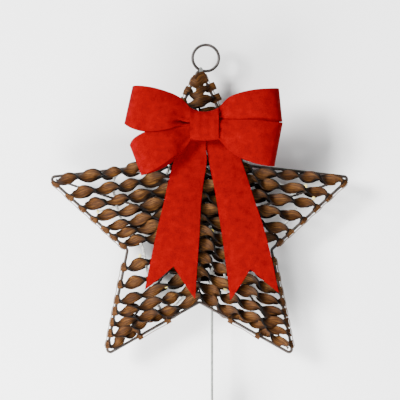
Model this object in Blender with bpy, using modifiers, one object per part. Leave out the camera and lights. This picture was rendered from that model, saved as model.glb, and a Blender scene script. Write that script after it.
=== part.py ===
# A lighted hanging star: a wire star with a raised middle, wound with twisted
# strips of wood veneer, with a light string inside, a ribbon bow and a lead.
# Metres, +Z up, +X to the right of the face, the face looks along -Y.
# The origin is where the hanging ring bears on its pin.
import bmesh
import bpy
import math
from mathutils import Matrix, Vector

MM = 0.001
GAP = 0.3 * MM                     # between pieces that touch

# Wire star
STAR_RADIUS = 162.8 * MM           # centre to the sharp corner of a tip
NOTCH_RADIUS = 77.5 * MM           # centre to an inner corner
TIP_BEND = 3.0 * MM
NOTCH_BEND = 3.0 * MM
WIRE_RADIUS = 1.5 * MM
SPOKE_RADIUS = 1.3 * MM
HUB_RADIUS = 2.6 * MM              # the weld where the spokes of one face meet
CENTRE_RISE = 18.0 * MM            # spoke axis in front of the outline at the centre
SPOKE_SHORT = 8.3 * MM             # a spoke ends this far inside the sharp corner

# Hanging ring, tied to the top tip
RING_INNER = 12.0 * MM
RING_WIRE = 1.5 * MM
TIE_WIRE = 0.5 * MM
TIE_SLACK = 0.7 * MM

# Strips: each twists a half turn in TWIST_LENGTH
STRIP_WIDTH = 9.0 * MM
STRIP_THICK = 0.8 * MM
TWIST_LENGTH = 23.5 * MM
LEAD_IN = 4.5 * MM                 # a strip leaves its wire square to it
EASE = 5.0 * MM                    # then turns towards the other end, in two steps if the turn is wide
WIDE_TURN = 42                     # degrees
FLAT_RUN = 3.5 * MM                # and starts to twist this far on
STEPS_PER_HALF_TURN = 3
SPOKE_MARGIN = 0.7 * MM
NEAR_PEAK = 2.5 * MM
WRAP_STEPS = 4

# Rows right across the star, from the left outline over the middle to the right one.
# An arm row ends on the lower edge of a side arm, at a share of it counted from the tip.
# A leg row ends on the outer edge of a leg, at a share counted from the notch.
ARM_ROWS_LEFT = (0.12, 0.27, 0.43, 0.58, 0.72, 0.825, 0.94)
LEG_ROWS_LEFT = (0.20, 0.36, 0.495, 0.595, 0.69)
ARM_ROWS_RIGHT = (0.12, 0.28, 0.43, 0.60, 0.77, 0.90)
LEG_ROWS_RIGHT = (0.11, 0.26, 0.395, 0.50, 0.60, 0.695)
# How high each row crosses the middle, as a share of NOTCH_RADIUS
ROW_HEIGHTS = (0.916, 0.735, 0.568, 0.413, 0.2645, 0.116, -0.039, -0.219, -0.4065, -0.587, -0.748, -0.89)
BACK_ROW_DROP = 5.5 * MM           # a back row is lower at the middle, less so near the notch
NOTCH_CLEAR = 4.0 * MM
DROP_SHARE = 0.2

# Short rows round one leg: share of the outer edge and of the inner edge, both from the tip
LEG_LOOPS = {"left": ((0.205, 0.70), (0.10, 0.37)), "right": ((0.21, 0.71), (0.10, 0.37))}
LEG_LOOP_WIDTH = 8.0 * MM
# Short rows round the top arm: share of the edge from the tip
TOP_LOOP_FIRST = 0.163
TOP_LOOP_STEP = 0.11
TOP_LOOP_COUNT = 7
TOP_LOOP_SLANT = 0.016

# Light string inside the star: degrees from +X towards +Z, and share of STAR_RADIUS
STRING_RADIUS = 0.9 * MM
STRING_STEP = 7                    # degrees
STRING_ROUTE = ((288, 0.42), (300, 0.48), (312, 0.60), (319, 0.62), (330, 0.47), (342, 0.37), (354, 0.45),
                (366, 0.60), (378, 0.65), (388, 0.58), (399, 0.46), (414, 0.36), (426, 0.44), (438, 0.58),
                (450, 0.68), (462, 0.58), (474, 0.44), (486, 0.36), (498, 0.48), (508, 0.62), (516, 0.60),
                (522, 0.56), (540, 0.47), (558, 0.37), (578, 0.42), (595, 0.50), (606, 0.60), (612, 0.56),
                (620, 0.42), (628, 0.35))

# Lead that leaves at the bottom notch
LEAD_X = 12.8 * MM
LEAD_RADIUS = 1.25 * MM
SLEEVE_RADIUS = 2.4 * MM
SLEEVE_TOP = -47 * MM
SLEEVE_LENGTH = 18 * MM
COIL_CENTRE_Z = -207 * MM
COIL_MID_RADIUS = 14 * MM
COIL_WALL = 12 * MM
COIL_DEPTH = 12.5 * MM
TAIL_LENGTH = 20 * MM
PLUG_SIZE = (24 * MM, 16 * MM, 32 * MM)
BLADE_SIZE = (1.5 * MM, 6.3 * MM, 17 * MM)
BLADE_SPACING = 12.7 * MM

# Ribbon bow
RIBBON_THICK = 1.6 * MM
KNOT_SIZE = (29 * MM, 19 * MM, 34 * MM)
KNOT_CENTRE = (4.9 * MM, -35.5 * MM, 104.3 * MM)
TAIL_NOTCH_DEPTH = 27 * MM
TAIL_CUT_DEPTH = 10 * MM
BOW_UNIT = 1.0 * MM                # the tables of the loops and the tails are in this unit


def clear_scene():
    for obj in list(bpy.data.objects):
        bpy.data.objects.remove(obj)


def make_material(name, color, roughness, metallic=0.0):
    mat = bpy.data.materials.new(name)
    mat.use_nodes = True
    shader = mat.node_tree.nodes["Principled BSDF"]
    shader.inputs["Base Color"].default_value = (*color, 1)
    shader.inputs["Roughness"].default_value = roughness
    shader.inputs["Metallic"].default_value = metallic
    return mat


def add_object(name, data, mat, parent=None):
    obj = bpy.data.objects.new(name, data)
    parts.objects.link(obj)
    obj.data.materials.append(mat)
    obj.parent = parent
    return obj


def evaluated_mesh(obj):
    bpy.context.view_layer.update()
    graph = bpy.context.evaluated_depsgraph_get()
    return bpy.data.meshes.new_from_object(obj.evaluated_get(graph))


def curve_object(name, points, radius, mat, parent=None, cyclic=False, resolution=2):
    """A wire along straight runs between the points."""
    curve = bpy.data.curves.new(name, "CURVE")
    curve.dimensions = "3D"
    curve.bevel_depth = radius
    curve.bevel_resolution = resolution
    curve.use_fill_caps = not cyclic
    spline = curve.splines.new("POLY")
    spline.points.add(len(points) - 1)
    for item, point in zip(spline.points, points):
        item.co = (*point, 1)
    spline.use_cyclic_u = cyclic
    return add_object(name, curve, mat, parent)


def welded_mesh(obj):
    """The evaluated mesh of a capped wire, closed, in the curve's own space."""
    mesh = evaluated_mesh(obj)
    form = bmesh.new()
    form.from_mesh(mesh)
    bmesh.ops.remove_doubles(form, verts=form.verts, dist=1e-6)
    form.to_mesh(mesh)
    form.free()
    return mesh


def ribbon_object(name, stations, thickness, mat, parent=None):
    """A flat strip through stations of (point, side direction, half width)."""
    widest = max(half for _, _, half in stations)
    curve = bpy.data.curves.new(name, "CURVE")
    curve.dimensions = "3D"
    curve.twist_mode = "Z_UP"
    curve.extrude = widest
    spline = curve.splines.new("POLY")
    spline.points.add(len(stations) - 1)
    places = [station[0] for station in stations]
    for index, (point, side, half) in enumerate(stations):
        before = places[max(index - 1, 0)]
        after = places[min(index + 1, len(places) - 1)]
        along = direction_at(before, point, after)
        upright = Vector((0, 0, 1))
        upright = (upright - upright.dot(along) * along).normalized()
        across = (side - side.dot(along) * along).normalized()
        item = spline.points[index]
        item.co = (*point, 1)
        item.radius = half / widest
        item.tilt = math.atan2(upright.cross(across).dot(along), upright.dot(across))
    guide = bpy.data.objects.new(name + "_guide", curve)
    bpy.context.scene.collection.objects.link(guide)
    mesh = evaluated_mesh(guide)
    bpy.data.objects.remove(guide)
    obj = add_object(name, mesh, mat, parent)
    obj.modifiers.new("Facets", "TRIANGULATE")
    skin = obj.modifiers.new("Thickness", "SOLIDIFY")
    skin.thickness = thickness
    skin.offset = 0
    return obj


def direction_at(before, point, after):
    """Tangent of a run of straight pieces, the mean of its two directions."""
    back = point - before
    ahead = after - point
    total = Vector((0, 0, 0))
    for step in (back, ahead):
        if step.length > 1e-9:
            total += step.normalized()
    return total.normalized()


def polar(radius, degrees):
    return Vector((radius * math.cos(math.radians(degrees)), 0,
                   radius * math.sin(math.radians(degrees))))


def tip(index):
    """Sharp corner of a tip; 0 is the top one and the rest go to the left round the star."""
    return polar(STAR_RADIUS, 90 + 72 * index)


def notch(index):
    """Inner corner after the tip of the same index."""
    return polar(NOTCH_RADIUS, 126 + 72 * index)


def rounded_corner(before, corner, after, radius, steps):
    """Points of an arc that rounds a corner."""
    to_before = (before - corner).normalized()
    to_after = (after - corner).normalized()
    half = to_before.angle(to_after) / 2
    middle = (to_before + to_after).normalized()
    centre = corner + middle * (radius / math.sin(half))
    first = corner + to_before * (radius / math.tan(half)) - centre
    last = corner + to_after * (radius / math.tan(half)) - centre
    turn = first.angle(last)
    axis = first.cross(last).normalized()
    return [centre + Matrix.Rotation(turn * k / steps, 3, axis) @ first for k in range(steps + 1)]


def star_outline(parent):
    points = []
    for index in range(5):
        points += rounded_corner(notch(index - 1), tip(index), notch(index), TIP_BEND, 6)
        points += rounded_corner(tip(index), notch(index), tip(index + 1), NOTCH_BEND, 2)
    curve_object("star_outline", points, WIRE_RADIUS, wire_dark, parent, cyclic=True)


def spoke_depth(share):
    """Depth of a spoke's axis at a share of the way from the centre to its end."""
    end = SPOKE_RADIUS + GAP / 2
    return CENTRE_RISE + (end - CENTRE_RISE) * share


def spoke_ends():
    """Where the six spokes of one face end: in the five tips and at the bottom notch."""
    ends = [polar(STAR_RADIUS - SPOKE_SHORT, 90 + 72 * index) for index in range(5)]
    ends.append(polar(NOTCH_RADIUS - WIRE_RADIUS - SPOKE_RADIUS - GAP, 270))
    return ends


def spoke_frame(name, face, parent):
    """Six wires welded at the raised middle; face is -1 for the front and 1 for the back."""
    centre = Vector((0, face * spoke_depth(0), 0))
    bpy.ops.mesh.primitive_ico_sphere_add(subdivisions=2, radius=HUB_RADIUS, rotation=(0.3, 0.2, 0.1))
    hub = bpy.context.object
    hub.name = name
    hub.location = centre
    bpy.ops.object.transform_apply(location=True, rotation=True, scale=True)
    mesh_objects = []
    for index, end in enumerate(spoke_ends()):
        foot = end + Vector((0, face * spoke_depth(1), 0))
        inside = (foot - centre).normalized() * (0.2 + 0.13 * index) * MM
        wire = curve_object("wire", [foot, centre + inside], SPOKE_RADIUS, wire_dark)
        mesh_objects.append(welded_mesh(wire))
        bpy.data.objects.remove(wire)
    hub.data.materials.append(wire_dark)
    hub.parent = parent
    move_to_parts(hub)
    for mesh in mesh_objects:
        cutter = bpy.data.objects.new(name + "_arm", mesh)
        cutters.objects.link(cutter)
        cutter.hide_render = True
        cutter.display_type = "WIRE"
        cutter.parent = parent
        join = hub.modifiers.new("Weld arm", "BOOLEAN")
        join.operation = "UNION"
        join.object = cutter


def support_at(point, reach):
    """Depth that keeps a point of a strip a given reach away from every spoke."""
    depth = 0.0
    for foot in spoke_ends():
        share = min(max(point.dot(foot) / foot.length_squared, 0), 1)
        near = (point - foot * share).length
        if near < reach:
            depth = max(depth, spoke_depth(share) + math.sqrt(reach ** 2 - near ** 2))
    return depth


def taut_depths(route, width, flats, twisting):
    """Supports (distance, depth) under a strip that is pulled tight over the spokes."""
    surface = WIRE_RADIUS + GAP + STRIP_THICK / 2
    wide = SPOKE_RADIUS + GAP + SPOKE_MARGIN + width / 2
    thin = SPOKE_RADIUS + GAP + STRIP_THICK
    total = route_length(route)
    count = round(total / (1.5 * MM))
    supports = []
    for k in range(1, count):
        distance = total * k / count
        point, along = place_on(route, distance)
        across = Vector((-along.z, 0, along.x)) * width / 2
        if twisting and flats[0] < distance < total - flats[1]:
            depth = support_at(point, wide)
        else:
            depth = max(support_at(point + across * u / 2, thin) for u in (-2, -1, 0, 1, 2))
        supports.append((distance, max(depth, surface)))
    hull = [(0.0, surface)]
    for place in supports + [(total, surface)]:
        while len(hull) > 1 and rises(hull[-2], hull[-1], place):
            hull.pop()
        hull.append(place)
    return hull


def route_length(route):
    return sum((b - a).length for a, b in zip(route, route[1:]))


def rises(first, middle, last):
    """True when the middle support lies under the line from first to last."""
    slope = (last[1] - first[1]) / max(last[0] - first[0], 1e-9)
    return middle[1] <= first[1] + slope * (middle[0] - first[0])


def depth_on(hull, distance):
    for (a, deep_a), (b, deep_b) in zip(hull, hull[1:]):
        if distance <= b or (b, deep_b) == hull[-1]:
            share = min(max((distance - a) / max(b - a, 1e-9), 0), 1)
            return deep_a + (deep_b - deep_a) * share


def place_on(route, distance):
    """Point and direction at a distance along a route of straight runs."""
    for start, end in zip(route, route[1:]):
        length = (end - start).length
        if distance <= length or end == route[-1]:
            return start + (end - start) * (distance / length), (end - start).normalized()
        distance -= length


def lead_points(place, target):
    """Where a strip that leaves an edge turns before it makes for its target."""
    at, out, _ = edge_frame(place)
    first = at - out * LEAD_IN
    run = (target - first).normalized()
    close = (target - first).length < 3 * EASE
    if close or run.angle(-out) < math.radians(WIDE_TURN):
        return [at, first]
    return [at, first, first + (run - out).normalized() * EASE]


def strip_run(left, right, middle, face, width=STRIP_WIDTH):
    """Stations of a strip across one face, flat at both ends and twisting between them."""
    left_at = edge_frame(left)[0]
    right_at = edge_frame(right)[0]
    head = lead_points(left, middle[0] if middle else right_at)
    tail = lead_points(right, middle[-1] if middle else left_at)[::-1]
    route = head + middle + tail
    total = route_length(route)
    flats = (route_length(head) + FLAT_RUN, route_length(tail) + FLAT_RUN)
    inner = total - sum(flats)
    turns = round(inner / TWIST_LENGTH) if inner > TWIST_LENGTH / 2 else 0
    hull = taut_depths(route, width, flats, turns > 0)
    steps = turns * STEPS_PER_HALF_TURN
    peak = max(hull, key=lambda place: place[1])[0]
    places = [flats[0] + inner * k / steps for k in range(steps + 1)] if turns else []
    places = sorted([place for place in places if abs(place - peak) > NEAR_PEAK] + [peak])
    distances = [(route_length(head[:k + 2]), 0) for k in range(len(head) - 1)]
    distances += [(place, math.pi * turns * min(max((place - flats[0]) / inner, 0), 1)) for place in places]
    distances += [(total - route_length(tail[k:]), math.pi * turns) for k in range(len(tail) - 1)]
    stations = []
    for distance, angle in distances:
        flat, along = mitred_place(route, distance)
        point = flat + Vector((0, face * depth_on(hull, distance), 0))
        across = Vector((-along.z, 0, along.x))
        side = across * math.cos(angle) + Vector((0, face, 0)) * math.sin(angle)
        stations.append((point, side, width / 2))
    return stations


def mitred_place(route, distance):
    """As place_on, with the mean direction at a corner of the route."""
    before = place_on(route, distance - 0.01 * MM)[1]
    point, after = place_on(route, distance + 0.01 * MM)
    return point - after * 0.01 * MM, (before + after).normalized()


def edge_frame(place):
    """Point on an edge, the outward direction there and the direction along the edge."""
    start, end, share = place
    return start + (end - start) * share, outward_of(start, end), (end - start).normalized()


def wrap_stations(place, entering, width=STRIP_WIDTH):
    """The turn round the outline wire, from behind it to the front, or the other way."""
    at, out, side = edge_frame(place)
    reach = WIRE_RADIUS + GAP + STRIP_THICK / 2
    stations = []
    for k in range(WRAP_STEPS + 1):
        angle = math.pi * k / WRAP_STEPS
        point = at + out * math.sin(angle) * reach + Vector((0, math.cos(angle) * reach, 0))
        stations.append((point, side, width / 2))
    return stations if entering else stations[::-1]


def blunt_end(place, face, width=STRIP_WIDTH):
    """The end of a strip that stops beside the one wrapped round the same wire."""
    at, out, side = edge_frame(place)
    surface = Vector((0, face * (WIRE_RADIUS + GAP + STRIP_THICK / 2), 0))
    return [(at - out * (GAP + STRIP_THICK) + surface, side, width / 2)]


def outward_of(start, end):
    """In the face, square to an edge and away from the star's middle."""
    along = (end - start).normalized()
    normal = Vector((along.z, 0, -along.x))
    return normal if normal.dot(start + end) > 0 else -normal


def front_row(name, left, right, middle, parent):
    """A strip over the front, wrapped round the outline at both ends."""
    run = strip_run(left, right, middle, -1)
    stations = wrap_stations(left, True) + run + wrap_stations(right, False)
    ribbon_object(name, aligned(stations), STRIP_THICK, veneer, parent)


def back_row(name, left, right, middle, parent):
    run = strip_run(left, right, middle, 1)
    stations = blunt_end(left, 1) + run + blunt_end(right, 1)
    ribbon_object(name, aligned(stations), STRIP_THICK, veneer, parent)


def strip_loop(name, left, right, width, parent):
    """One strip right round an arm: front, far wire, back, and the start again."""
    stations = wrap_stations(left, True, width) + strip_run(left, right, [], -1, width)
    stations += wrap_stations(right, False, width) + strip_run(right, left, [], 1, width)
    stations += blunt_end(left, 1, width)
    ribbon_object(name, aligned(stations), STRIP_THICK, veneer, parent)


def aligned(stations):
    """Turn each side direction the way of the one before it, so the strip never flips."""
    result = [stations[0]]
    for point, side, half in stations[1:]:
        if side.dot(result[-1][1]) < 0:
            side = -side
        result.append((point, side, half))
    return result


def side_arm(left, share):
    """Place on the lower edge of a side arm, at a share from the tip."""
    return (tip(1), notch(1), share) if left else (tip(4), notch(3), share)


def leg_outer(left, share):
    """Place on the outer edge of a leg, at a share from the notch."""
    return (notch(1), tip(2), share) if left else (notch(3), tip(3), share)


def leg_inner(left, share):
    """Place on the inner edge of a leg, at a share from the tip."""
    return (tip(2), notch(2), share) if left else (tip(3), notch(2), share)


def strip_rows(parent):
    left_ends = [side_arm(True, s) for s in ARM_ROWS_LEFT] + [leg_outer(True, s) for s in LEG_ROWS_LEFT]
    right_ends = [side_arm(False, s) for s in ARM_ROWS_RIGHT]
    right_ends += [leg_outer(False, s) for s in LEG_ROWS_RIGHT]
    for index, (left, right, height) in enumerate(zip(left_ends, right_ends, ROW_HEIGHTS)):
        middle = NOTCH_RADIUS * height
        drop = min(BACK_ROW_DROP, (NOTCH_RADIUS + middle - NOTCH_CLEAR) * DROP_SHARE)
        front = [Vector((0, 0, middle))]
        back = [Vector((0, 0, middle - drop))]
        front_row(f"front_strip_{index + 1:02d}", left, right, front, parent)
        back_row(f"back_strip_{index + 1:02d}", left, right, back, parent)


def strip_loops(parent):
    for side, loops in LEG_LOOPS.items():
        for index, (outer, inner) in enumerate(loops):
            start = leg_outer(side == "left", 1 - outer)
            finish = leg_inner(side == "left", inner)
            strip_loop(f"{side}_leg_strip_{index + 1}", start, finish, LEG_LOOP_WIDTH, parent)
    for index in range(TOP_LOOP_COUNT):
        share = TOP_LOOP_FIRST + TOP_LOOP_STEP * index
        left = (tip(0), notch(0), share + TOP_LOOP_SLANT)
        right = (tip(0), notch(4), share - TOP_LOOP_SLANT)
        strip_loop(f"top_arm_strip_{index + 1}", left, right, STRIP_WIDTH, parent)


def ring_and_tie(star):
    centre = Vector((0, 0, -RING_INNER))
    middle = RING_INNER + RING_WIRE
    bpy.ops.mesh.primitive_torus_add(
        location=centre, rotation=(math.radians(90), 0, 0), major_radius=middle,
        minor_radius=RING_WIRE, major_segments=32, minor_segments=8)
    ring = bpy.context.object
    ring.name = "hang_ring"
    ring.data.materials.append(wire_dark)
    move_to_parts(ring)
    # the tie goes round the ring's wire and the bend of the top tip, side by side
    low = star.location.z + tip_top() - WIRE_RADIUS - TIE_SLACK - TIE_WIRE
    high = centre.z - middle + RING_WIRE + TIE_SLACK + TIE_WIRE + 1.2 * MM
    near = star.location.y - WIRE_RADIUS - TIE_SLACK - TIE_WIRE
    far = RING_WIRE + TIE_SLACK + TIE_WIRE
    x = star.location.x + 1.0 * MM
    corners = [Vector((x, near, low)), Vector((x, far, low)), Vector((x, far, high)), Vector((x, near, high))]
    points = []
    for k in range(4):
        points += rounded_corner(corners[k - 1], corners[k], corners[(k + 1) % 4], 1.5 * MM, 3)
    curve_object("ring_tie", points, TIE_WIRE, tie_clear, cyclic=True, resolution=1)


def tip_top():
    """Height of the outline wire's axis at the top of the top tip, from the star's centre."""
    corner = rounded_corner(notch(4), tip(0), notch(0), TIP_BEND, 2)
    return corner[1].z


def move_to_parts(obj):
    for owner in list(obj.users_collection):
        owner.objects.unlink(obj)
    parts.objects.link(obj)


def light_string(parent):
    """A wire that visits each arm in turn inside the star, and ends at the sleeve."""
    depth = WIRE_RADIUS + GAP + LEAD_RADIUS
    start = SLEEVE_TOP + GAP
    points = [Vector((LEAD_X, depth, start)), Vector((LEAD_X, depth, start + 4 * MM)),
              Vector((LEAD_X + 3 * MM, depth, start + 8 * MM)), Vector((LEAD_X + 10 * MM, depth / 2, start + 7 * MM)),
              Vector((LEAD_X + 17 * MM, 0, start - 2 * MM))]
    for (first, near), (last, far) in zip(STRING_ROUTE, STRING_ROUTE[1:]):
        count = max(1, round((last - first) / STRING_STEP))
        for k in range(count):
            points.append(polar(STAR_RADIUS * (near + (far - near) * k / count), first + (last - first) * k / count))
    points.append(polar(STAR_RADIUS * STRING_ROUTE[-1][1], STRING_ROUTE[-1][0]))
    curve_object("light_string", smooth_route(points, 1), STRING_RADIUS, cord_clear, parent, resolution=1)


def smooth_route(points, rounds):
    """Cut the corners of a route, keeping its ends."""
    for _ in range(rounds):
        middle = []
        for before, point, after in zip(points, points[1:], points[2:]):
            middle.append(point * 0.5 + (before + after) * 0.25)
        points = [points[0]] + middle + [points[-1]]
    return points


def lead_and_plug(star):
    depth = WIRE_RADIUS + GAP + LEAD_RADIUS
    bpy.ops.mesh.primitive_cylinder_add(vertices=12, radius=SLEEVE_RADIUS, depth=SLEEVE_LENGTH)
    sleeve = bpy.context.object
    sleeve.name = "lead_sleeve"
    sleeve.location = (LEAD_X, depth, SLEEVE_TOP - SLEEVE_LENGTH / 2)
    sleeve.parent = star
    sleeve.data.materials.append(cord_clear)
    move_to_parts(sleeve)
    top = SLEEVE_TOP - SLEEVE_LENGTH - GAP
    outer = COIL_MID_RADIUS + COIL_WALL / 2
    bottom = COIL_CENTRE_Z + math.sqrt(outer ** 2 - (COIL_MID_RADIUS - LEAD_RADIUS) ** 2) + GAP
    count = max(2, round((top - bottom) / (3 * 2 * LEAD_RADIUS)))
    run = [Vector((LEAD_X, depth, top + (bottom - top) * k / count)) for k in range(count + 1)]
    curve_object("lead", run, LEAD_RADIUS, cord_clear, star)
    coil_x = LEAD_X + COIL_MID_RADIUS
    turned_ring("lead_coil", Vector((coil_x, depth, COIL_CENTRE_Z)), star)
    # the tie round the coil's bundle, at the side away from the lead
    band = 0.9 * MM
    near_x = coil_x + COIL_MID_RADIUS - COIL_WALL / 2 - GAP - band
    far_x = coil_x + outer + GAP + band
    half_deep = COIL_DEPTH / 2 + GAP + band
    corners = [Vector((near_x, depth - half_deep, COIL_CENTRE_Z)), Vector((far_x, depth - half_deep, COIL_CENTRE_Z)),
               Vector((far_x, depth + half_deep, COIL_CENTRE_Z)), Vector((near_x, depth + half_deep, COIL_CENTRE_Z))]
    points = []
    for k in range(4):
        points += rounded_corner(corners[k - 1], corners[k], corners[(k + 1) % 4], 2 * MM, 3)
    curve_object("coil_tie", points, band - GAP, cord_clear, star, cyclic=True, resolution=1)
    # the last turn leaves the coil where the first came in, and hangs on down to the plug
    tail_top = 2 * COIL_CENTRE_Z - bottom
    tail_bottom = tail_top - TAIL_LENGTH
    tail = [Vector((LEAD_X, depth, tail_top - TAIL_LENGTH * k / 3)) for k in range(4)]
    curve_object("lead_tail", tail, LEAD_RADIUS, cord_clear, star)
    plug_top = tail_bottom - GAP
    bpy.ops.mesh.primitive_cube_add(size=1)
    plug = bpy.context.object
    plug.name = "plug_body"
    plug.dimensions = PLUG_SIZE
    plug.location = (LEAD_X, depth, plug_top - PLUG_SIZE[2] / 2)
    bpy.ops.object.transform_apply(location=False, rotation=False, scale=True)
    edges = plug.modifiers.new("Edges", "BEVEL")
    edges.width = 3 * MM
    edges.segments = 2
    plug.parent = star
    plug.data.materials.append(plug_white)
    move_to_parts(plug)
    for name, side in (("plug_blade_left", -1), ("plug_blade_right", 1)):
        bpy.ops.mesh.primitive_cube_add(size=1)
        blade = bpy.context.object
        blade.name = name
        blade.dimensions = BLADE_SIZE
        blade.location = (LEAD_X + side * BLADE_SPACING / 2, depth,
                          plug_top - PLUG_SIZE[2] - GAP - BLADE_SIZE[2] / 2)
        bpy.ops.object.transform_apply(location=False, rotation=False, scale=True)
        blade.parent = star
        blade.data.materials.append(blade_metal)
        move_to_parts(blade)


def turned_ring(name, centre, parent):
    """The outer shape of the coiled lead: a ring with a rounded section, turned about Y."""
    steps = 8
    form = bmesh.new()
    ring = []
    for k in range(steps):
        angle = -2 * math.pi * k / steps
        ring.append(form.verts.new((COIL_MID_RADIUS + COIL_WALL / 2 * math.cos(angle), 0,
                                    COIL_DEPTH / 2 * math.sin(angle))))
    for k in range(steps):
        form.edges.new((ring[k], ring[(k + 1) % steps]))
    mesh = bpy.data.meshes.new(name)
    form.to_mesh(mesh)
    form.free()
    obj = add_object(name, mesh, cord_clear, parent)
    turn = obj.modifiers.new("Turn", "SCREW")
    turn.angle = math.tau
    turn.steps = 20
    turn.render_steps = 20
    turn.use_merge_vertices = True
    turn.merge_threshold = 0.00001
    turn.use_normal_calculate = True
    obj.rotation_euler = (math.radians(90), 0, 0)
    obj.location = centre


def bow_knot(parent):
    bpy.ops.mesh.primitive_cube_add(size=1)
    knot = bpy.context.object
    knot.name = "bow_knot"
    knot.dimensions = KNOT_SIZE
    knot.location = KNOT_CENTRE
    bpy.ops.object.transform_apply(location=False, rotation=False, scale=True)
    edges = knot.modifiers.new("Rounding", "BEVEL")
    edges.width = 5 * MM
    edges.segments = 3
    knot.parent = parent
    knot.data.materials.append(felt_red)
    move_to_parts(knot)


# The edges of each loop of the bow seen from the front, from the knot to the far fold:
# (share of the reach, bottom x and z, top x and z), in bow units from the star's centre
BOW_LOOPS = {
    "bow_loop_upper_left": ((0, -10, 103, -10, 123.6), (0.08, -14.6, 101.5, -14.6, 125.1),
                            (0.2, -20.7, 102.9, -21.7, 131.3), (0.38, -31.7, 99, -33.8, 136.4),
                            (0.58, -45.8, 96.2, -46.9, 140.1), (0.78, -59.9, 96.8, -57.9, 141.8),
                            (0.94, -71.5, 100.7, -65.5, 142), (1, -75.3, 103.9, -67, 141.3)),
    "bow_loop_lower_left": ((0, -10, 83.5, -10, 103.5), (0.08, -14.4, 81.5, -14.4, 105.5),
                            (0.2, -19.3, 74, -21.7, 103), (0.38, -25.7, 68.2, -31.7, 100.9),
                            (0.58, -35.8, 60.1, -44.8, 98.4), (0.78, -45.8, 54.1, -56.4, 94.9),
                            (0.94, -54.9, 51.3, -67, 88.3), (1, -58.1, 51.9, -70, 82.8)),
    "bow_loop_upper_right": ((0, 19.8, 104.9, 19.8, 123.5), (0.08, 24.4, 103.6, 24.4, 124.8),
                             (0.2, 31.7, 106.2, 30.7, 130.9), (0.38, 43.8, 105.7, 42.8, 135.5),
                             (0.58, 56.9, 105.3, 56.4, 138.2), (0.78, 69.5, 105.9, 69, 139.2),
                             (0.94, 80.1, 106.1, 77.6, 139.7), (1, 83.1, 105.9, 79.7, 139.5)),
    "bow_loop_lower_right": ((0, 19.8, 86, 19.8, 108), (0.08, 24.4, 86, 24.4, 108),
                             (0.2, 30.7, 77, 32.2, 107.8), (0.38, 40.8, 70, 44.3, 107.6),
                             (0.58, 51.9, 65.4, 57.4, 107.2), (0.78, 64, 62.3, 71, 105),
                             (0.94, 72, 61.3, 80.9, 103.3), (1, 74.9, 61.1, 83.4, 101.5)),
}
# How far the front and the back layer stand off the fold, and which loop lies in front
LOOP_FRONT = {0: 3.6, 0.08: 3.8, 0.2: 6.5, 0.38: 9.5, 0.58: 11, 0.78: 10.5, 0.94: 6, 1: 0}
LOOP_BACK = {0: 3.6, 0.08: 3.8, 0.2: 5, 0.38: 6.5, 0.58: 8, 0.78: 8, 0.94: 5, 1: 0}
LOOP_ROOTS = {"bow_loop_upper_left": -36.8, "bow_loop_lower_left": -34.4,
              "bow_loop_upper_right": -34.4, "bow_loop_lower_right": -36.8}


def bow_loop(name, edges, parent):
    """A ribbon that goes out from the knot, turns over and comes back behind itself."""
    layers = [(edge, -LOOP_FRONT[edge[0]]) for edge in edges]
    layers += [(edge, LOOP_BACK[edge[0]]) for edge in reversed(edges[:-1])]
    stations = []
    for (_, low_x, low_z, high_x, high_z), depth in layers:
        low = Vector((low_x, 0, low_z)) * BOW_UNIT
        high = Vector((high_x, 0, high_z)) * BOW_UNIT
        point = (low + high) / 2 + Vector((0, (LOOP_ROOTS[name] + depth) * BOW_UNIT, 0))
        stations.append((point, (high - low).normalized(), (high - low).length / 2))
    ribbon_object(name, aligned(stations), RIBBON_THICK, felt_red, parent)


# The tails: (x, y, z, half width) down the middle of each ribbon, in bow units from the star's centre
TAIL_ROUTES = {
    "bow_tail_left": ((0, -24.6, 96, 7.5), (-4, -24.6, 84, 11), (-8.2, -25.2, 70, 16), (-13.5, -27.6, 46, 17.5),
                      (-17.8, -30.2, 22, 18.8), (-21.5, -31.6, -5, 21.5), (-26, -31.2, -38, 24), (-30.5, -30, -71, 26.5)),
    "bow_tail_right": ((11, -22.4, 96, 7.5), (16.5, -22.4, 84, 11), (24.3, -23.2, 70, 15.5), (31.5, -25.6, 46, 17.5),
                       (38, -27.5, 22, 19.5), (44.5, -28.5, -5, 21.8), (51, -28.5, -38, 23.8), (56.5, -28, -71, 25.5)),
}


def bow_tail(name, route, parent):
    places = [Vector((x, y, z)) * BOW_UNIT for x, y, z, _ in route]
    stations = []
    for index, point in enumerate(places):
        before = places[max(index - 1, 0)]
        after = places[min(index + 1, len(places) - 1)]
        along = direction_at(before, point, after)
        across = Vector((-along.z, 0, along.x)).normalized()
        stations.append((point, across, route[index][3] * BOW_UNIT))
    tail = ribbon_object(name, aligned(stations), RIBBON_THICK, felt_red, parent)
    # a swallow-tail end, cut by a three-sided prism
    end = places[-1]
    along = (places[-1] - places[-2]).normalized()
    across = Vector((-along.z, 0, along.x)).normalized()
    half = route[-1][3] * BOW_UNIT * 0.96
    past = along * RIBBON_THICK
    outline = [end + past - across * half, end + past + across * half, end - along * TAIL_NOTCH_DEPTH]
    form = bmesh.new()
    face = form.faces.new([form.verts.new(point - Vector((0, TAIL_CUT_DEPTH, 0))) for point in outline])
    pushed = bmesh.ops.extrude_face_region(form, geom=[face])
    moved = [item for item in pushed["geom"] if isinstance(item, bmesh.types.BMVert)]
    bmesh.ops.translate(form, verts=moved, vec=(0, 2 * TAIL_CUT_DEPTH, 0))
    bmesh.ops.recalc_face_normals(form, faces=form.faces)
    mesh = bpy.data.meshes.new(name + "_cut")
    form.to_mesh(mesh)
    form.free()
    cutter = bpy.data.objects.new(name + "_cut", mesh)
    cutters.objects.link(cutter)
    cutter.hide_render = True
    cutter.display_type = "WIRE"
    cutter.parent = parent
    cut = tail.modifiers.new("Swallow tail", "BOOLEAN")
    cut.operation = "DIFFERENCE"
    cut.object = cutter


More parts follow.
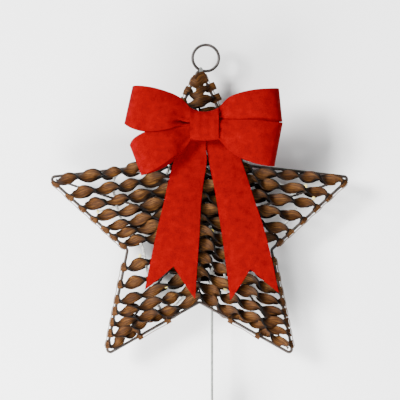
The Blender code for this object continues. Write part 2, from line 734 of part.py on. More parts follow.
clear_scene()
parts = bpy.data.collections.new("lighted_star")
cutters = bpy.data.collections.new("cutters")
bpy.context.scene.collection.children.link(parts)
bpy.context.scene.collection.children.link(cutters)

wire_dark = make_material("dark_wire", (0.045, 0.03, 0.022), 0.5, 0.3)
veneer = make_material("wood_veneer", (0.25, 0.12, 0.05), 0.55)
felt_red = make_material("red_felt", (0.72, 0.01, 0.01), 0.9)
cord_clear = make_material("clear_cord", (0.75, 0.77, 0.76), 0.3)
tie_clear = make_material("clear_tie", (0.7, 0.72, 0.7), 0.3)
plug_white = make_material("plug_plastic", (0.8, 0.8, 0.78), 0.4)
blade_metal = make_material("plug_blade", (0.75, 0.6, 0.35), 0.3, 1.0)

star = bpy.data.objects.new("star_centre", None)
parts.objects.link(star)
# the tip's bend lies beside the bottom of the ring, in front of it
star.location = (-6.4 * MM, -(WIRE_RADIUS + RING_WIRE + GAP),
                 -2 * RING_INNER - RING_WIRE - tip_top() - 0.5 * MM)

star_outline(star)
spoke_frame("front_spokes", -1, star)
spoke_frame("back_spokes", 1, star)
strip_rows(star)
strip_loops(star)
ring_and_tie(star)
light_string(star)
lead_and_plug(star)
bow_knot(star)
for loop_name, loop_edges in BOW_LOOPS.items():
    bow_loop(loop_name, loop_edges, star)
for tail_name, tail_route in TAIL_ROUTES.items():
    bow_tail(tail_name, tail_route, star)
bpy.context.view_layer.update()
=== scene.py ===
# Looks for the lighted hanging star: veneer strips, wires, lights, bow and lead.
import bpy
from math import copysign, cos, exp, floor, pi, radians, sin, sqrt, tan
from mathutils import Matrix, Vector


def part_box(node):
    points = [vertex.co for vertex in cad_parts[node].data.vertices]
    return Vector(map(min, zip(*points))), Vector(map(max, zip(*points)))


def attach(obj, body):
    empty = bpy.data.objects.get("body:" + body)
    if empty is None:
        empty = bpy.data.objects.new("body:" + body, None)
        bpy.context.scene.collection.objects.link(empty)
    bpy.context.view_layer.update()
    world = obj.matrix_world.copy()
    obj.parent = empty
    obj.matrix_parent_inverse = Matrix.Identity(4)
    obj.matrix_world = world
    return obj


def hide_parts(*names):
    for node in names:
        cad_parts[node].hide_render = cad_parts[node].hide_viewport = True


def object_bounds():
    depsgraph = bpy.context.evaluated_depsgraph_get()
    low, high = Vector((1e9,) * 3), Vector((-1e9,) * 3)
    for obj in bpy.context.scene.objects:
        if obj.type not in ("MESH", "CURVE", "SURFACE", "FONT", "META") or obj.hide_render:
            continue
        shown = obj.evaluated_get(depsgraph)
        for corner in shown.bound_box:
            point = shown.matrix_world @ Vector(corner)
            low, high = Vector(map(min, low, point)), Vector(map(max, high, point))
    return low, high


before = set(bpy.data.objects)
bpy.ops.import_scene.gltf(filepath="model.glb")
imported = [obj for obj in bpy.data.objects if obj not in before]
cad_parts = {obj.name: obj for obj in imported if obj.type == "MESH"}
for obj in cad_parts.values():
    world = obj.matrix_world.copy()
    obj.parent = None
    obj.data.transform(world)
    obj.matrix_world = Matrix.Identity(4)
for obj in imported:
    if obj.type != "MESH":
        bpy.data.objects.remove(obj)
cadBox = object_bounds()
mm = 0.001
gap = 0.3 * mm

# The wire star; its centre comes from the outline that the frame holds
star = dict(tipRadius=162.8 * mm, notchRadius=77.5 * mm, tipBend=3.0 * mm, notchBend=3.0 * mm,
            wire=1.5 * mm, spoke=1.3 * mm, rise=18.0 * mm, spokeShort=8.3 * mm)


def polar(radius, degrees):
    turn = radians(degrees)
    return Vector((radius * cos(turn), 0, radius * sin(turn)))


def tip(index):
    return polar(star["tipRadius"], 90 + 72 * index)


def notch(index):
    return polar(star["notchRadius"], 126 + 72 * index)


halfTip = (notch(0) - tip(0)).angle(Vector((0, 0, -1)))
tipTop = star["tipRadius"] - star["tipBend"] / sin(halfTip) + star["tipBend"]
outlineLow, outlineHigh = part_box("star_outline")
starCentre = Vector(((outlineLow.x + outlineHigh.x) / 2, (outlineLow.y + outlineHigh.y) / 2,
                     outlineHigh.z - star["wire"] - tipTop))


def placed(points):
    return [point + starCentre for point in points]


# Camera, set first
photoView = dict(centre=(-5.9 * mm, 0, -157.6 * mm), width=410.4 * mm, distance=2.5)
cameraData = bpy.data.cameras.new("photoCamera")
cameraData.lens = cameraData.sensor_width * photoView["distance"] / photoView["width"]
camera = bpy.data.objects.new("photoCamera", cameraData)
camera.location = Vector(photoView["centre"]) + Vector((0, -photoView["distance"], 0))
camera.rotation_euler = (radians(90), 0, 0)
bpy.context.scene.collection.objects.link(camera)
bpy.context.scene.camera = camera


def linear(code):
    values = [int(code[k:k + 2], 16) / 255 for k in (1, 3, 5)]
    return [v / 12.92 if v <= 0.04045 else ((v + 0.055) / 1.055) ** 2.4 for v in values] + [1.0]


def addNode(tree, kind, settings=None, **links):
    # settings are sockets or properties by name, links are sources by socket name
    node = tree.nodes.new(kind)
    for key, value in (settings or {}).items():
        if key in node.inputs:
            node.inputs[key].default_value = value
        else:
            setattr(node, key, value)
    for key, source in links.items():
        tree.links.new(source, node.inputs[key.replace("_", " ")])
    return node


def newMaterial(name, **values):
    mat = bpy.data.materials.new(name)
    mat.use_nodes = True
    shader = mat.node_tree.nodes["Principled BSDF"]
    for key, value in values.items():
        shader.inputs[key.replace("_", " ")].default_value = value
    return mat, mat.node_tree, shader


def colourRamp(tree, factor, stops):
    ramp = addNode(tree, "ShaderNodeValToRGB", Fac=factor)
    elements = ramp.color_ramp.elements
    while len(elements) < len(stops):
        elements.new(0.5)
    for element, (place, code) in zip(elements, stops):
        element.position = place
        element.color = linear(code)
    return ramp.outputs["Color"]


def objectPlace(tree):
    return addNode(tree, "ShaderNodeTexCoord").outputs["Object"]


def noise(tree, place, size, detail, roughness=0.5):
    # clouds or fibres of the given size
    return addNode(tree, "ShaderNodeTexNoise", {"Scale": 1 / size, "Detail": detail, "Roughness": roughness},
                   Vector=place).outputs["Fac"]


def multiplied(tree, first, second, share):
    mix = addNode(tree, "ShaderNodeMix", {"data_type": "RGBA", "blend_type": "MULTIPLY"})
    mix.inputs[0].default_value = share
    tree.links.new(first, mix.inputs[6])
    tree.links.new(second, mix.inputs[7])
    return mix.outputs[2]


def addBump(tree, shader, height, strength, distance):
    bump = addNode(tree, "ShaderNodeBump", {"Strength": strength, "Distance": distance}, Height=height)
    tree.links.new(bump.outputs["Normal"], shader.inputs["Normal"])


def splitWoodVeneer(name, dark, mid, light):
    # split poplar veneer, stained brown: matt, with grain along the strip, darker edges that are partly dark rough
    # edges and partly painted shade, and painted shade where the strip stands on edge
    mat, tree, shader = newMaterial(name, Roughness=0.65, Specular_IOR_Level=0.1)
    uv = addNode(tree, "ShaderNodeUVMap").outputs["UV"]
    # grain lines about 0.7 mm apart across the strip and 15 mm long, in stained patches of 30 by 12 mm
    grainPlace = addNode(tree, "ShaderNodeMapping", {"Scale": (1 / (15 * mm), 1 / (0.7 * mm), 1)}, Vector=uv)
    patchPlace = addNode(tree, "ShaderNodeMapping", {"Scale": (1 / (30 * mm), 1 / (12 * mm), 1)}, Vector=uv)
    grain = noise(tree, grainPlace.outputs["Vector"], 1.0, 4.0, 0.6)
    patches = noise(tree, patchPlace.outputs["Vector"], 1.0, 2.0)
    wood = colourRamp(tree, grain, ((0.28, dark), (0.5, mid), (0.72, light)))
    darkening = colourRamp(tree, patches, ((0.3, "#8d6f55"), (0.7, "#ffffff")))
    # painted shade: darkens the strip along its edges (partly the dark rough edges) and where it turns edge-on
    roughEdgeAndShadeNode = addNode(tree, "ShaderNodeAttribute", {"attribute_name": "roughEdgeAndShade"})
    edge = colourRamp(tree, roughEdgeAndShadeNode.outputs["Fac"], ((0.3, "#ffffff"), (0.85, "#1c120c")))
    stained = multiplied(tree, wood, darkening, 0.6)
    tree.links.new(multiplied(tree, stained, edge, 1.0), shader.inputs["Base Color"])
    addBump(tree, shader, grain, 0.35, 0.25 * mm)
    return mat


def feltRibbon():
    # dyed wool felt: no gloss, a soft sheen and short fibres that mottle the red
    mat, tree, shader = newMaterial("redFelt", Roughness=0.95, IOR=1.45, Specular_IOR_Level=0.03, Sheen_Weight=0.02,
                                    Sheen_Roughness=0.5, Sheen_Tint=linear("#ff4a4a"))
    place = objectPlace(tree)
    fibre = noise(tree, place, 0.8 * mm, 3.0, 0.7)
    cloud = noise(tree, place, 7 * mm, 3.0, 0.6)
    blend = addNode(tree, "ShaderNodeMix", {"data_type": "FLOAT"})
    blend.inputs[0].default_value = 0.5
    tree.links.new(fibre, blend.inputs[2])
    tree.links.new(cloud, blend.inputs[3])
    red = colourRamp(tree, blend.outputs[0], ((0.33, "#510003"), (0.5, "#620003"), (0.67, "#720005")))
    tree.links.new(red, shader.inputs["Base Color"])
    addBump(tree, shader, fibre, 0.5, 0.3 * mm)
    return mat


def tapedWire(name, dark, light):
    # florist's steel wire with a wound paper tape: satin, with slanting turns about 2 mm apart
    mat, tree, shader = newMaterial(name, Roughness=0.5, Metallic=0.25)
    place = objectPlace(tree)
    turns = addNode(tree, "ShaderNodeTexWave",
                    {"Scale": 1 / (14 * mm), "Distortion": 1.5, "bands_direction": "DIAGONAL"}, Vector=place)
    colour = colourRamp(tree, noise(tree, place, 3 * mm, 3.0), ((0.35, dark), (0.7, light)))
    tree.links.new(colour, shader.inputs["Base Color"])
    addBump(tree, shader, turns.outputs["Fac"], 0.4, 0.3 * mm)
    return mat


def clearVinyl(name, dark, light):
    # clear PVC over tinned copper: pale grey, glossy and a little see-through
    mat, tree, shader = newMaterial(name, Roughness=0.25, IOR=1.53, Transmission_Weight=0.05)
    colour = colourRamp(tree, noise(tree, objectPlace(tree), 3 * mm, 2.0), ((0.3, dark), (0.7, light)))
    tree.links.new(colour, shader.inputs["Base Color"])
    return mat


def plainFinish(name, low, high, size, **values):
    # a moulded or drawn surface with slight cloudiness of the given size
    mat, tree, shader = newMaterial(name, **values)
    cloud = noise(tree, objectPlace(tree), size, 3.0)
    tree.links.new(colourRamp(tree, cloud, ((0.3, low), (0.7, high))), shader.inputs["Base Color"])
    addBump(tree, shader, cloud, 0.08, 0.1 * mm)
    return mat


veneer = splitWoodVeneer("splitWoodVeneer", "#180c03", "#3f240c", "#775021")
# painted shade: a darker copy of the veneer for the back strips, which lie in shade inside the star
shadedVeneer = splitWoodVeneer("splitWoodVeneerBack", "#130a02", "#281604", "#42280c")
felt = feltRibbon()
outlineTape = tapedWire("brownTapedWire", "#18110d", "#33261e")
ringWire = tapedWire("ringWire", "#150f0c", "#2f2520")
vinyl = clearVinyl("clearVinyl", "#a4a49c", "#f4f4ee")
leadVinyl = clearVinyl("clearLeadVinyl", "#676965", "#80827e")
tieTan = plainFinish("annealedTieWire", "#3a2c22", "#7d6550", 4 * mm, Roughness=0.4, Metallic=0.3)
lampCap = plainFinish("warmLampResin", "#ffe680", "#fff0a8", 3 * mm, Roughness=0.2, IOR=1.5,
                      Emission_Color=linear("#ffdf6a"), Emission_Strength=0.6)
plugPlastic = plainFinish("mouldedPlugPlastic", "#d3d4d0", "#e2e3df", 8 * mm, Roughness=0.38, IOR=1.53)
bladeMetal = plainFinish("nickelPlatedBlade", "#b9b29c", "#cfc8b2", 5 * mm, Roughness=0.28, Metallic=1.0)


def dress(node, mat):
    obj = bpy.data.objects[node]
    obj.data.materials.clear()
    obj.data.materials.append(mat)


def selectOnly(obj):
    bpy.ops.object.select_all(action="DESELECT")
    obj.select_set(True)
    bpy.context.view_layer.objects.active = obj


def finishPiece(obj, mat, nodes=(), smooth=40):
    # modifiers applied, place moved into the mesh, then hung on the root body and the parts it stands for hidden
    selectOnly(obj)
    if obj.type == "CURVE":
        bpy.ops.object.convert(target="MESH")
        obj = bpy.context.object
    for modifier in list(obj.modifiers):
        bpy.ops.object.modifier_apply(modifier=modifier.name)
    bpy.ops.object.transform_apply(location=True, rotation=True, scale=True)
    bpy.ops.object.shade_smooth_by_angle(angle=radians(smooth))
    obj.data.materials.clear()
    obj.data.materials.append(mat)
    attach(obj, "root")
    if nodes:
        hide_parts(*nodes)
    return obj


def addWall(obj, thickness):
    wall = obj.modifiers.new("thickness", "SOLIDIFY")
    wall.thickness = thickness
    wall.offset = 0


def joined(objects, name):
    # curves become meshes, and all become one object
    bpy.ops.object.select_all(action="DESELECT")
    for obj in objects:
        obj.select_set(True)
    bpy.context.view_layer.objects.active = objects[0]
    bpy.ops.object.convert(target="MESH")
    bpy.ops.object.join()
    result = bpy.context.object
    result.name = name
    return result


def wireCurve(name, points, radius, cyclic=False, sides=2):
    data = bpy.data.curves.new(name, "CURVE")
    data.dimensions = "3D"
    data.bevel_depth = radius
    data.bevel_resolution = sides
    data.use_fill_caps = not cyclic
    spline = data.splines.new("POLY")
    spline.points.add(len(points) - 1)
    for item, point in zip(spline.points, points):
        item.co = (*point, 1)
    spline.use_cyclic_u = cyclic
    obj = bpy.data.objects.new(name, data)
    bpy.context.scene.collection.objects.link(obj)
    return obj


def smoothPath(points, steps):
    # a Catmull-Rom line through the points
    result = []
    for k in range(len(points) - 1):
        a, b, c, d = (points[min(max(k + j, 0), len(points) - 1)] for j in (-1, 0, 1, 2))
        for j in range(steps):
            t = j / steps
            result.append(0.5 * (2 * b + (c - a) * t + (2 * a - 5 * b + 4 * c - d) * t * t
                                 + (3 * b - a - 3 * c + d) * t ** 3))
    return result + [points[-1]]


# Lead: straight down from the sleeve behind the bottom notch, then a coil with the plug under it
lead = dict(
    x=12.8 * mm, radius=1.25 * mm, length=1.8, coilZ=-207 * mm, coilHalf=16 * mm, coilRadius=14 * mm,
    layerStep=2.35 * mm, turnsInLayers=(3, 4, 5, 4, 3), pointsPerTurn=20, straightPoints=8, riseFrom=0.75,
    # (above the coil, towards the front) of the points that lead into the first turn
    entry=((12 * mm, 0), (4 * mm, 3.5 * mm), (-8 * mm, 5.6 * mm)),
    # (x, z) from the coil's middle, in mm, down from the last turn to the plug
    tail=((-16.6, -4), (-16.6, -9), (-16.3, -14), (-15.7, -18.5), (-14.8, -23), (-14.2, -27.5), (-14.0, -31.5)),
    tailEase=(-16, 15))


def coilSlots():
    # each turn's place across the winding, layer by layer and back and forth
    slots = []
    layers = len(lead["turnsInLayers"])
    for layer, count in enumerate(lead["turnsInLayers"]):
        row = [((k - (count - 1) / 2) * 2 * lead["radius"], (layer - (layers - 1) / 2) * lead["layerStep"])
               for k in range(count)]
        slots += row if layer % 2 == 0 else row[::-1]
    return slots


def leadRoute():
    depth = star["wire"] + gap + lead["radius"]
    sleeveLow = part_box("lead_sleeve")[0].z - starCentre.z
    coilTop = lead["coilZ"] + lead["coilHalf"]
    straightLow = coilTop + lead["entry"][0][0]
    count = lead["straightPoints"]
    points = [Vector((lead["x"], depth, sleeveLow + (straightLow - sleeveLow) * k / count)) for k in range(count + 1)]
    points += [Vector((lead["x"], depth - forward, coilTop + up)) for up, forward in lead["entry"][1:]]
    middle = Vector((lead["x"] + lead["coilRadius"], depth, lead["coilZ"]))
    slots = coilSlots()
    turns = lead["pointsPerTurn"]
    for index, (out, deep) in enumerate(slots):
        nextOut, nextDeep = slots[min(index + 1, len(slots) - 1)]
        for k in range(turns):
            share = max(0, (k / turns - lead["riseFrom"]) / (1 - lead["riseFrom"]))
            radius = lead["coilRadius"] + out + (nextOut - out) * share
            place = polar(radius, 180 + 360 * k / turns)
            points.append(middle + place + Vector((0, deep + (nextDeep - deep) * share, 0)))
    deep = slots[-1][1]
    easeFrom, easeRun = lead["tailEase"]
    for x, z in lead["tail"]:
        ease = min(max((easeFrom - z) / easeRun, 0), 1)
        points.append(middle + Vector((x * mm, deep * (1 - ease * ease * (3 - 2 * ease)), z * mm)))
    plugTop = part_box("plug_body")[1].z - starCentre.z
    points.append(Vector((lead["x"], depth, plugTop + gap)))
    return placed(points)


route = leadRoute()
leadCord = wireCurve("lead_cord", route, lead["radius"])
leadCord.data.materials.append(leadVinyl)
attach(leadCord, "root")
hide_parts("lead", "lead_coil", "lead_tail")
print("lead done")


# Strips: the same routes as the frame's strips, made smooth
strip = dict(
    width=9.0 * mm, legWidth=8.0 * mm, firstWidth=11.5 * mm, thick=0.8 * mm, skin=1.1 * mm, cup=1.5 * mm,
    pitch=23.5 * mm, station=2.0 * mm, leadIn=4.5 * mm, ease=5.0 * mm, wideTurn=42, flatRun=3.5 * mm,
    spokeMargin=0.7 * mm, probe=1.5 * mm, wrapSteps=8,
    # widths at a wrap, a neck and a lens as shares of the strip's own, and how fast a lens grows from its neck
    wrapWidth=1.0, neckWidth=0.85, lensWidth=1.24, lensVary=0.1, grow=9 * mm,
    # a neck's length, how far it turns short of edge-on, and how flat a lens begins, in radians
    neck=3.0 * mm, neckVary=0.25, neckFlip=0.45, flip=0.13, turnVary=0.11,
    # a run too short for a lens only leans and widens a little
    shortLean=0.35, shortWidth=1.1,
    # sideways: a slant in each lens and a slow wander, both fading out towards the ends
    sway=0.8 * mm, swayFade=8 * mm, wander=0.8 * mm, wanderLength=13 * mm, wanderFade=12 * mm,
    # loose wraps: (outside the left edge, outside the right edge, share of the width)
    loose=1.2 * mm, innerWrap=0.65, topLoose=(2.0 * mm, 4.6 * mm, 0.85),
    # darkening along the edges (dark rough edges and painted shade) and painted shade where the strip stands on edge
    fine=3, across=6, edgeRoughAndShade=0.35, standShade=0.65)
rows = dict(
    armLeft=(0.09, 0.27, 0.43, 0.58, 0.72, 0.825, 0.94), legLeft=(0.165, 0.33, 0.475, 0.585, 0.69),
    armRight=(0.09, 0.28, 0.43, 0.60, 0.77, 0.90), legRight=(0.11, 0.26, 0.395, 0.50, 0.60, 0.695),
    heights=(0.916, 0.735, 0.568, 0.413, 0.2645, 0.116, -0.039, -0.219, -0.4065, -0.587, -0.748, -0.89),
    drop=5.5 * mm, notchClear=4.0 * mm, dropShare=0.2, firstDip=Vector((62 * mm, 0, 55 * mm)),
    sagFrom=9, sagX=27 * mm, sag=(3.0 * mm, 5.5 * mm, 7.0 * mm), backSag=(2.0 * mm, 5.0 * mm, 11.0 * mm),
    # this many back rows from the top take the veneer with painted shade
    shadedBacks=10)
legLoops = dict(left=((0.205, 0.66), (0.10, 0.36)), right=((0.21, 0.66), (0.10, 0.37)))
topLoops = dict(first=0.118, step=0.112, slant=0.018, count=7)
loopNecks = dict(leg=1.0, top=0.6, far=0.45)


def spokeDepth(share):
    end = star["spoke"] + gap / 2
    return star["rise"] + (end - star["rise"]) * share


def spokeEnds():
    ends = [polar(star["tipRadius"] - star["spokeShort"], 90 + 72 * k) for k in range(5)]
    return ends + [polar(star["notchRadius"] - star["wire"] - star["spoke"] - gap, 270)]


def supportAt(point, reach):
    # how far the spokes hold a strip out at this point
    depth = 0.0
    for foot in spokeEnds():
        share = min(max(point.dot(foot) / foot.length_squared, 0), 1)
        near = (point - foot * share).length
        if near < reach:
            depth = max(depth, spokeDepth(share) + sqrt(reach ** 2 - near ** 2))
    return depth


def routeLength(points):
    return sum((b - a).length for a, b in zip(points, points[1:]))


def travelledTo(points):
    # the distance from the first point to each point
    distances = [0.0]
    for a, b in zip(points, points[1:]):
        distances.append(distances[-1] + (b - a).length)
    return distances


def placeOn(points, distance):
    for start, end in zip(points, points[1:]):
        length = (end - start).length
        if distance <= length or end == points[-1]:
            return start + (end - start) * (distance / length), (end - start).normalized()
        distance -= length


def tautDepths(points, width, flats, twisting):
    # what holds the strip out: a line over the spokes, pulled tight
    surface = star["wire"] + gap + strip["thick"] / 2
    wide = star["spoke"] + gap + strip["spokeMargin"] + width / 2
    thin = star["spoke"] + gap + strip["thick"]
    total = routeLength(points)
    count = round(total / strip["probe"])
    supports = []
    for k in range(1, count):
        distance = total * k / count
        point, along = placeOn(points, distance)
        across = Vector((-along.z, 0, along.x)) * width / 2
        if twisting and flats[0] < distance < total - flats[1]:
            depth = supportAt(point, wide)
        else:
            depth = max(supportAt(point + across * u / 2, thin) for u in (-2, -1, 0, 1, 2))
        supports.append((distance, max(depth, surface)))
    hull = [(0.0, surface)]
    for place in supports + [(total, surface)]:
        while len(hull) > 1:
            (a, deepA), (b, deepB) = hull[-2:]
            if deepB > deepA + (place[1] - deepA) / max(place[0] - a, 1e-9) * (b - a):
                break
            hull.pop()
        hull.append(place)
    return hull


def depthOn(hull, distance):
    for (a, deepA), (b, deepB) in zip(hull, hull[1:]):
        if distance <= b or (b, deepB) == hull[-1]:
            return deepA + (deepB - deepA) * min(max((distance - a) / max(b - a, 1e-9), 0), 1)


def edgeFrame(place):
    # the point at a share of an edge, the way out of the star and the way along the edge
    start, end, share = place
    along = (end - start).normalized()
    out = Vector((along.z, 0, -along.x))
    out = out if out.dot(start + end) > 0 else -out
    return start + (end - start) * share, out, along


def leadPoints(place, target):
    # square off the wire, then a turn towards the target, eased where it is wide
    at, out, _ = edgeFrame(place)
    first = at - out * strip["leadIn"]
    run = (target - first).normalized()
    if (target - first).length < 3 * strip["ease"] or run.angle(-out) < radians(strip["wideTurn"]):
        return [at, first]
    return [at, first, first + (run - out).normalized() * strip["ease"]]


def stripRun(left, right, middle, face, width, seed, startNeck=1.0, endNeck=1.0):
    # stations from wire to wire: a narrow neck by each wire, and one half turn for each lens between
    head = leadPoints(left, middle[0] if middle else edgeFrame(right)[0])
    tail = leadPoints(right, middle[-1] if middle else edgeFrame(left)[0])[::-1]
    points = head + middle + tail
    total = routeLength(points)
    flats = (routeLength(head) + strip["flatRun"], routeLength(tail) + strip["flatRun"])
    startNeck *= strip["neck"] * (1 + strip["neckVary"] * sin(seed * 2.1))
    endNeck *= strip["neck"] * (1 + strip["neckVary"] * sin(seed * 3.7))
    inner = total - startNeck - endNeck
    lenses = round(inner / strip["pitch"]) if inner > strip["pitch"] * 0.5 else 0
    hull = tautDepths(points, width, flats, lenses > 0)
    count = max(6, round(total / strip["station"]))
    stations = []
    for k in range(count + 1):
        distance = total * k / count
        toEnd = min(distance, total - distance)
        flat = placeOn(points, distance)[0]
        before = placeOn(points, max(distance - strip["station"], 0))[0]
        after = placeOn(points, min(distance + strip["station"], total - 1e-6))[0]
        along = (after - before).normalized()
        edge = max(min(distance / startNeck, (total - distance) / endNeck), 0)
        steady = lenses * (distance - startNeck) / inner
        if not lenses:
            arch = sin(pi * distance / total)
            angle = strip["shortLean"] * arch
            wide = strip["wrapWidth"] + (strip["shortWidth"] - strip["wrapWidth"]) * arch
        elif edge < 1:
            angle = (pi / 2 - strip["neckFlip"]) * edge ** 1.5
            angle = angle if distance < total / 2 else pi * (lenses + 1) - angle
            wide = strip["wrapWidth"] + (strip["neckWidth"] - strip["wrapWidth"]) * edge
        else:
            arch = sin(pi * (distance - startNeck) / inner)
            turned = steady + strip["turnVary"] * sin(pi * steady * 0.7 + seed * 1.3) * arch
            # the strip flips over quickly between two lenses
            lens = floor(turned)
            angle = pi * (lens + 0.5) + strip["flip"] + (pi - 2 * strip["flip"]) * (turned % 1)
            wide = strip["lensWidth"] * (1 + strip["lensVary"] * sin(seed + lens * 2.3))
            grown = min(1, min(distance - startNeck, total - endNeck - distance) / strip["grow"])
            wide = strip["neckWidth"] + (wide - strip["neckWidth"]) * sin(pi / 2 * grown)
        depth = depthOn(hull, distance)
        half = min(width / 2 * wide, (depth + strip["spokeMargin"]) / max(abs(sin(angle)), 0.1))
        across = Vector((-along.z, 0, along.x))
        # each lens stands a little aslant, as a twisted strip does
        sway = -strip["sway"] * sin(2 * pi * max(steady, 0)) * min(1, toEnd / strip["swayFade"])
        wander = strip["wander"] * sin(distance / strip["wanderLength"] + seed)
        sway += wander * min(1, toEnd / strip["wanderFade"])
        point = flat + Vector((0, face * depth, 0)) + across * sway
        stations.append((point, across * cos(angle) + Vector((0, face, 0)) * sin(angle), half))
    return stations


def wrapStations(place, entering, width, loose=0.0, wide=1.0):
    # half a turn round the wire, from the back to the front or the other way
    at, out, side = edgeFrame(place)
    reach = star["wire"] + gap + strip["thick"] / 2
    stations = []
    for k in range(strip["wrapSteps"] + 1):
        angle = pi * k / strip["wrapSteps"]
        point = at + out * sin(angle) * (reach + loose) + Vector((0, cos(angle) * reach, 0))
        stations.append((point, side, width / 2 * strip["wrapWidth"] * wide))
    return stations if entering else stations[::-1]


def bluntEnd(place, width):
    # a cut end on the back of the wire
    at, out, side = edgeFrame(place)
    surface = Vector((0, star["wire"] + gap + strip["thick"] / 2, 0))
    return [(at - out * (gap + strip["thick"]) + surface, side, width / 2 * strip["wrapWidth"])]


def aligned(stations):
    # no side flips over from one station to the next
    result = [stations[0]]
    for point, side, half in stations[1:]:
        result.append((point, side if side.dot(result[-1][1]) >= 0 else -side, half))
    return result


def gridPiece(name, columns, lines):
    # a grid to be bent into place, column by column
    bpy.ops.mesh.primitive_grid_add(x_subdivisions=columns - 1, y_subdivisions=lines - 1, size=2)
    obj = bpy.context.object
    obj.name = name
    return obj


def stripPiece(name, stations, nodes, mat=veneer):
    stations = aligned(stations)
    centres = smoothPath([point for point, _, _ in stations], strip["fine"])
    sides = []
    halves = []
    for (_, a, halfA), (_, b, halfB) in zip(stations, stations[1:]):
        for k in range(strip["fine"]):
            sides.append(a.lerp(b, k / strip["fine"]).normalized())
            halves.append(halfA + (halfB - halfA) * k / strip["fine"])
    sides.append(stations[-1][1].normalized())
    halves.append(stations[-1][2])
    count = len(centres)
    travelled = travelledTo(centres)
    obj = gridPiece(name, count, strip["across"])
    mesh = obj.data
    darkening = mesh.attributes.new("roughEdgeAndShade", "FLOAT", "POINT")
    seed = sum(ord(letter) * (k + 3) for k, letter in enumerate(name)) % 97
    for vertex in mesh.vertices:
        column = round((vertex.co.x + 1) / 2 * (count - 1))
        v = vertex.co.y
        before = centres[max(column - 1, 0)]
        after = centres[min(column + 1, count - 1)]
        along = (after - before).normalized()
        side = (sides[column] - sides[column].dot(along) * along).normalized()
        # hand-split strips vary a little in width
        wander = 1 + 0.035 * sin(travelled[column] / (7 * mm) + seed)
        wander += 0.02 * sin(travelled[column] / (2.7 * mm))
        # darker along the edges, partly dark rough edges and partly painted shade, and painted shade where the strip
        # stands on edge
        darkening.data[vertex.index].value = abs(v) ** 3 * strip["edgeRoughAndShade"] + abs(side.y) * strip["standShade"]
        cup = strip["cup"] * (0.3 + 0.7 * abs(side.y)) * (halves[column] * 2 / strip["width"])
        bulge = side.cross(along) * cup * (0.5 - v * v)
        vertex.co = starCentre + centres[column] + side * v * halves[column] * wander + bulge
    # the wood's grain is in metres along and across the strip
    layer = mesh.uv_layers.active
    for loop in mesh.loops:
        uv = layer.data[loop.index].uv
        column = round(uv.x * (count - 1))
        uv.x = travelled[column] + seed * 0.011
        uv.y = uv.y * strip["width"] + seed * 0.003
    addWall(obj, strip["skin"])
    return finishPiece(obj, mat, nodes)


def sagging(left, top, right, index, key):
    # the lowest rows hang towards the inner edges of the legs
    if index < rows["sagFrom"]:
        return [top, rows["firstDip"]] if index == 0 else [top]
    leftAt, rightAt = edgeFrame(left)[0], edgeFrame(right)[0]
    low = Vector((0, 0, -rows[key][index - rows["sagFrom"]]))
    return [leftAt.lerp(top, 1 - rows["sagX"] / abs(leftAt.x)) + low, top,
            rightAt.lerp(top, 1 - rows["sagX"] / abs(rightAt.x)) + low]


def makeStrips():
    wide = strip["width"]
    lefts = [(tip(1), notch(1), s) for s in rows["armLeft"]] + [(notch(1), tip(2), s) for s in rows["legLeft"]]
    rights = [(tip(4), notch(3), s) for s in rows["armRight"]] + [(notch(3), tip(3), s) for s in rows["legRight"]]
    for index, (left, right, height) in enumerate(zip(lefts, rights, rows["heights"])):
        top = Vector((0, 0, height * star["notchRadius"]))
        drop = min(rows["drop"], (star["notchRadius"] + top.z - rows["notchClear"]) * rows["dropShare"])
        low = top - Vector((0, 0, drop))
        front = wrapStations(left, True, wide)[:-1]
        front += stripRun(left, right, sagging(left, top, right, index, "sag"), -1, wide, index)
        front += wrapStations(right, False, wide)[1:]
        stripPiece(f"veneer_front_{index + 1:02d}", front, [f"front_strip_{index + 1:02d}"])
        back = bluntEnd(left, wide)
        back += stripRun(left, right, sagging(left, low, right, index, "backSag"), 1, wide, index + 20)[1:-1]
        back += bluntEnd(right, wide)
        # the upper back rows get the darker veneer as painted shade
        stripPiece(f"veneer_back_{index + 1:02d}", back, [f"back_strip_{index + 1:02d}"],
                   shadedVeneer if index < rows["shadedBacks"] else veneer)


def loopPiece(name, left, right, width, node, neck, loose):
    # over the front from left to right, round the right edge and back behind
    seed = sum(ord(letter) for letter in name)
    stations = wrapStations(left, True, width, loose[0])[:-1]
    stations += stripRun(left, right, [], -1, width, seed, neck, loopNecks["far"])
    stations += wrapStations(right, False, width, loose[1], loose[2])[1:-1]
    stations += stripRun(right, left, [], 1, width, seed + 3, loopNecks["far"], neck)[:-1]
    stations += bluntEnd(left, width)
    stripPiece(name, stations, [node])


def makeLoops():
    for side, loops in legLoops.items():
        outer = (notch(1), tip(2)) if side == "left" else (notch(3), tip(3))
        inner = (tip(2), notch(2)) if side == "left" else (tip(3), notch(2))
        for index, (outShare, inShare) in enumerate(loops):
            loopPiece(f"veneer_{side}_leg_{index + 1}", (*outer, 1 - outShare), (*inner, inShare),
                      strip["legWidth"], f"{side}_leg_strip_{index + 1}", loopNecks["leg"],
                      (0, strip["loose"], strip["innerWrap"]))
    for index in range(topLoops["count"]):
        share = topLoops["first"] + topLoops["step"] * index
        width = strip["width"] if index else strip["firstWidth"]
        loopPiece(f"veneer_top_{index + 1}", (tip(0), notch(0), share + topLoops["slant"]),
                  (tip(0), notch(4), share - topLoops["slant"]), width, f"top_arm_strip_{index + 1}",
                  loopNecks["top"], strip["topLoose"] if index else (0, 0, 1.0))


makeStrips()
makeLoops()
print("strips done")


